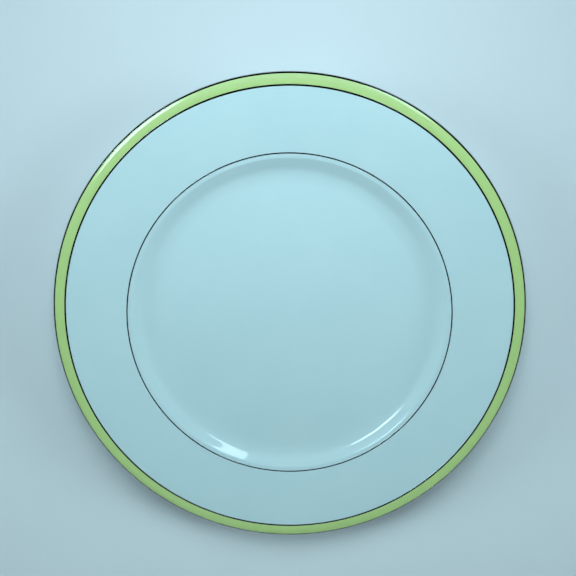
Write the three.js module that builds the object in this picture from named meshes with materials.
// A rimmed porcelain dinner plate, in millimetres, +Z up, standing on its foot ring.
// The origin is the centre of the foot ring's bearing face, and the plate is round about Z.
//
// One porcelain body is jiggered and fired in one piece with its foot ring. A glassy glaze coats it all
// over, apart from the bare bearing line of the foot, so the glaze is two skins: one that runs from the
// foot's outer wall round the lip and across the face, and one inside the foot ring. On the glaze sit the
// fired-on decorations: a lime green enamel band, three platinum lines and a plain mark on the back.
import * as THREE from "three";

// Porcelain body, under its glaze
const PLATE_RADIUS = 136.4; // to the lip's widest line, 136.6 with the glaze
const FOOT_DEPTH = 4.0; // from the bearing face up to the underside of the floor
const FLOOR_THICKNESS = 4.6; // porcelain under the well
const FLOOR_RADIUS = 78.6; // flat part of the well
const SWEEP_RADIUS = 30.2; // gentle curve in which the floor begins to rise
const SWEEP_ANGLE = 12.5; // degrees, slope at which the gentle curve ends
const WALL_FILLET = 13.2; // tighter curve that goes on from there into the wall of the well
const WALL_ANGLE = 29; // degrees, steepest slope of the wall
const WALL_RUN = 3.7; // radial length of the straight part of the wall
const VERGE_RADIUS = 4.6; // radius that turns the wall over into the rim
const BACK_FILLET = 22.05; // single curve that lifts the back of the plate from the foot into the wall
const BACK_BEGINS = -87; // degrees, direction in which that curve meets the fillet of the foot
const RIM_ANGLE = 9; // degrees, slope of the rim
const RIM_THICKNESS = 3.7; // porcelain of the wall and at the inner end of the rim
const ROLL_RADIUS = 15; // gentle curve in which the rim rolls over towards the lip
const LIP_FALL = 6; // degrees, outward slope at which the tight round of the lip begins
const LIP_TOP_RADIUS = 1.6; // round of the lip above its widest line
const LIP_UNDER_RADIUS = 0.9; // round of the lip below it

// Foot ring
const BEARING_INNER = 74.2;
const BEARING_OUTER = 76.2;
const FOOT_CORNER = 0.7; // rounds beside the bearing face
const FOOT_DRAFT = 24; // degrees, lean of the foot's two walls
const FOOT_FILLET = 1.2; // where the foot's walls run into the body

// Glaze
const GLAZE = 0.2; // thickness of the coat
const GLAZE_STOP = 1.1; // height above the bearing face where the wiped glaze ends

// Decoration, as radii on the face of the plate
const BAND_LINE_RADIUS = 129.35;
const BAND_LINE_WIDTH = 0.92;
const WELL_LINE_RADIUS = 95.43;
const WELL_LINE_WIDTH = 0.7;
const EDGE_LINE_BACK = 1.3; // how far in from the lip the edge line runs on the back
const ENAMEL = 0.06; // thickness of the green band
const PLATINUM = 0.03; // thickness of the lines
const CLEARANCE = 0.01; // kept between a layer and what it lies on or beside

// Mark on the underside
const MARK_RADIUS = 8.5;
const SCALLOPS = 12; // round its edge
const SCALLOP_DEPTH = 0.6;
const PETALS = 6;
const PETAL_PLACE = 4.5;
const PETAL_LENGTH = 4.4;
const PETAL_WIDTH = 2.4;
const HEART_RADIUS = 1.2;
const MARK_INK = 0.03; // thickness of the printed colour

const SEGMENTS = 60; // steps round the plate
const radians = THREE.MathUtils.degToRad;
const degrees = THREE.MathUtils.radToDeg;
const sine = (angle) => Math.sin(radians(angle));
const cosine = (angle) => Math.cos(radians(angle));
const point = (r, z) => new THREE.Vector2(r, z);

// Place on a circle, by its direction from the centre in degrees.
const onCircle = (centre, radius, turn) => point(centre.x + radius * cosine(turn), centre.y + radius * sine(turn));

// Points of a round stretch of contour, both ends included.
function arc(centre, radius, from, to, steps) {
  const points = [];
  for (let step = 0; step <= steps; step++) {
    points.push(onCircle(centre, radius, from + ((to - from) * step) / steps));
  }
  return points;
}

// Moves a contour sideways, to its right as it runs, by the same distance all along.
function shift(contour, distance) {
  const rightOf = (i) => {
    const along = contour[i + 1].clone().sub(contour[i]).normalize();
    return point(along.y, -along.x);
  };
  return contour.map((here, i) => {
    const before = rightOf(Math.max(i - 1, 0));
    const after = rightOf(Math.min(i, contour.length - 2));
    const bisector = before.clone().add(after).normalize();
    return here.clone().addScaledVector(bisector, distance / bisector.dot(after));
  });
}

// Face of the body, from the lip's widest line in to the centre of the well.
const floorTop = FOOT_DEPTH + FLOOR_THICKNESS;
const sweepCentre = point(FLOOR_RADIUS, floorTop + SWEEP_RADIUS);
const filletCentre = onCircle(sweepCentre, SWEEP_RADIUS - WALL_FILLET, SWEEP_ANGLE - 90);
const wallFoot = onCircle(filletCentre, WALL_FILLET, WALL_ANGLE - 90);
const wallTop = point(wallFoot.x + WALL_RUN, wallFoot.y + WALL_RUN * Math.tan(radians(WALL_ANGLE)));
const vergeCentre = point(wallTop.x + VERGE_RADIUS * sine(WALL_ANGLE), wallTop.y - VERGE_RADIUS * cosine(WALL_ANGLE));
const rimFoot = onCircle(vergeCentre, VERGE_RADIUS, 90 + RIM_ANGLE);
const lipTopX = PLATE_RADIUS - LIP_TOP_RADIUS;
const rollCentreX = lipTopX - (ROLL_RADIUS - LIP_TOP_RADIUS) * sine(LIP_FALL);
const rimEndX = rollCentreX - ROLL_RADIUS * sine(RIM_ANGLE);
const rimEndZ = rimFoot.y + (rimEndX - rimFoot.x) * Math.tan(radians(RIM_ANGLE));
const rollCentre = point(rollCentreX, rimEndZ - ROLL_RADIUS * cosine(RIM_ANGLE));
const lipTopCentre = onCircle(rollCentre, ROLL_RADIUS - LIP_TOP_RADIUS, 90 - LIP_FALL);
const lipTop = arc(lipTopCentre, LIP_TOP_RADIUS, 0, 90 - LIP_FALL, 3);
const roll = [
  onCircle(rollCentre, ROLL_RADIUS, 90),
  ...arc(rollCentre, ROLL_RADIUS, 90, 90 + RIM_ANGLE, 2).slice(1),
];
const face = [
  ...lipTop,
  ...roll,
  ...arc(vergeCentre, VERGE_RADIUS, 90 + RIM_ANGLE, 90 + WALL_ANGLE, 3),
  ...arc(filletCentre, WALL_FILLET, WALL_ANGLE - 90, SWEEP_ANGLE - 90, 2),
  ...arc(sweepCentre, SWEEP_RADIUS, SWEEP_ANGLE - 90, -90, 2).slice(1),
  point(0, floorTop),
];

// Back of the body, from where the glaze stops on the foot's outer wall, out under the rim to the lip.
const lean = Math.tan(radians(FOOT_DRAFT));
const outerWall = (z) => point(BEARING_OUTER + FOOT_CORNER + (z - FOOT_CORNER) * lean, z);
const innerWall = (z) => point(BEARING_INNER - FOOT_CORNER - (z - FOOT_CORNER) * lean, z);
const backCentre = point(FLOOR_RADIUS, FOOT_DEPTH + BACK_FILLET);
const backVerge = VERGE_RADIUS - RIM_THICKNESS;
const backRimFoot = onCircle(vergeCentre, backVerge, 90 + RIM_ANGLE);
const underCentre = point(PLATE_RADIUS - LIP_UNDER_RADIUS, lipTopCentre.y);
const backRise = underCentre.y - LIP_UNDER_RADIUS - backRimFoot.y;
const backAngle = degrees(Math.atan2(backRise, underCentre.x - backRimFoot.x));
const lipUnder = arc(underCentre, LIP_UNDER_RADIUS, backAngle - 90, 0, 2).slice(0, -1);
const back = [
  outerWall(GLAZE_STOP),
  outerWall(FOOT_DEPTH - FOOT_FILLET / 2),
  ...arc(backCentre, BACK_FILLET, BACK_BEGINS, WALL_ANGLE - 90, 3),
  ...arc(vergeCentre, backVerge, 90 + WALL_ANGLE, 90 + RIM_ANGLE, 2),
  ...lipUnder,
];

// Underside within the foot ring, from its centre to where the glaze stops on the foot's inner wall.
const underside = [
  point(0, FOOT_DEPTH),
  point(innerWall(FOOT_DEPTH).x - FOOT_FILLET, FOOT_DEPTH),
  innerWall(FOOT_DEPTH - FOOT_FILLET / 2),
  innerWall(GLAZE_STOP),
];

// Bare foot between the two glazed walls, over its flat bearing face.
const foot = [
  ...arc(point(BEARING_INNER, FOOT_CORNER), FOOT_CORNER, 180 + FOOT_DRAFT, 270, 2),
  ...arc(point(BEARING_OUTER, FOOT_CORNER), FOOT_CORNER, 270, 360 - FOOT_DRAFT, 2),
];

// Turns a contour about Z. The contour runs with the solid on its left.
function turned(name, contour) {
  const geometry = new THREE.LatheGeometry(contour, SEGMENTS);
  geometry.rotateX(Math.PI / 2);
  const mesh = new THREE.Mesh(geometry);
  mesh.name = name;
  return mesh;
}

// Contour of a layer on a stretch of surface, between two heights above it, closed on itself.
function layer(stretch, bottom, top) {
  const outline = [...shift(stretch, bottom).reverse(), ...shift(stretch, top)];
  return [...outline, outline[0].clone()];
}

const plate = new THREE.Group();
plate.name = "dinner_plate";
plate.add(turned("porcelain_body", [...underside, ...foot, ...back, ...face]));

// Both coats of glaze reach the centre of the plate, so their contours begin and end there.
const coated = [...back, ...face];
plate.add(turned("glaze_coat", [...shift(coated, CLEARANCE).reverse(), ...shift(coated, GLAZE)]));
plate.add(turned("underside_glaze", [...shift(underside, GLAZE), ...shift(underside, CLEARANCE).reverse()]));

// The three platinum lines. The edge line wraps the lip, and the other two lie on the straight rim.
const glazed = shift(coated, GLAZE);
const lipBegins = back.length - lipUnder.length;
const lipEnds = back.length + lipTop.length;
const rollEnds = lipEnds + roll.length;
const glazedRimEnd = glazed[rollEnds - 1];
const slope = Math.tan(radians(RIM_ANGLE));
const onRim = (r) => point(r, glazedRimEnd.y + (r - glazedRimEnd.x) * slope);
const backSlope = Math.tan(radians(backAngle));
const edgeStart = PLATE_RADIUS + GLAZE - EDGE_LINE_BACK;
const edgeStretch = [
  point(edgeStart, glazed[lipBegins].y + (edgeStart - glazed[lipBegins].x) * backSlope),
  ...glazed.slice(lipBegins, lipEnds),
];
const lineStretch = (radius, width) => [onRim(radius + width / 2), onRim(radius - width / 2)];
const bandLine = lineStretch(BAND_LINE_RADIUS, BAND_LINE_WIDTH);
const wellLine = lineStretch(WELL_LINE_RADIUS, WELL_LINE_WIDTH);
const upOfPlatinum = CLEARANCE + PLATINUM;
plate.add(turned("edge_line", layer(edgeStretch, CLEARANCE, upOfPlatinum)));
plate.add(turned("band_line", layer(bandLine, CLEARANCE, upOfPlatinum)));
plate.add(turned("well_line", layer(wellLine, CLEARANCE, upOfPlatinum)));

// The green band fills the space between the edge line and the band line.
const bandInner = onRim(bandLine[0].x + CLEARANCE);
const bandStretch = [...glazed.slice(lipEnds - 1, rollEnds), bandInner];
plate.add(turned("green_band", layer(bandStretch, CLEARANCE, CLEARANCE + ENAMEL)));

// Mark printed on the glazed underside: a scalloped rosette with an open heart and open petals.
const rosette = new THREE.Shape();
for (let step = 0; step < SCALLOPS * 4; step++) {
  const around = (2 * Math.PI * step) / (SCALLOPS * 4);
  const reach = MARK_RADIUS - SCALLOP_DEPTH * (1 - Math.abs(Math.sin((around * SCALLOPS) / 2)));
  const corner = [reach * Math.cos(around), reach * Math.sin(around)];
  if (step === 0) rosette.moveTo(...corner);
  else rosette.lineTo(...corner);
}
rosette.closePath();
for (let petal = 0; petal < PETALS; petal++) {
  const around = (2 * Math.PI * petal) / PETALS;
  const place = [PETAL_PLACE * Math.cos(around), PETAL_PLACE * Math.sin(around)];
  const opening = new THREE.Path();
  opening.absellipse(...place, PETAL_LENGTH / 2, PETAL_WIDTH / 2, 0, 2 * Math.PI, true, around);
  rosette.holes.push(opening);
}
const heart = new THREE.Path();
heart.absarc(0, 0, HEART_RADIUS, 0, 2 * Math.PI, true);
rosette.holes.push(heart);
const markGeometry = new THREE.ExtrudeGeometry(rosette, { depth: MARK_INK, bevelEnabled: false, curveSegments: 12 });
markGeometry.translate(0, 0, FOOT_DEPTH - GLAZE - CLEARANCE - MARK_INK);
const mark = new THREE.Mesh(markGeometry);
mark.name = "back_mark";
plate.add(mark);

export default plate;
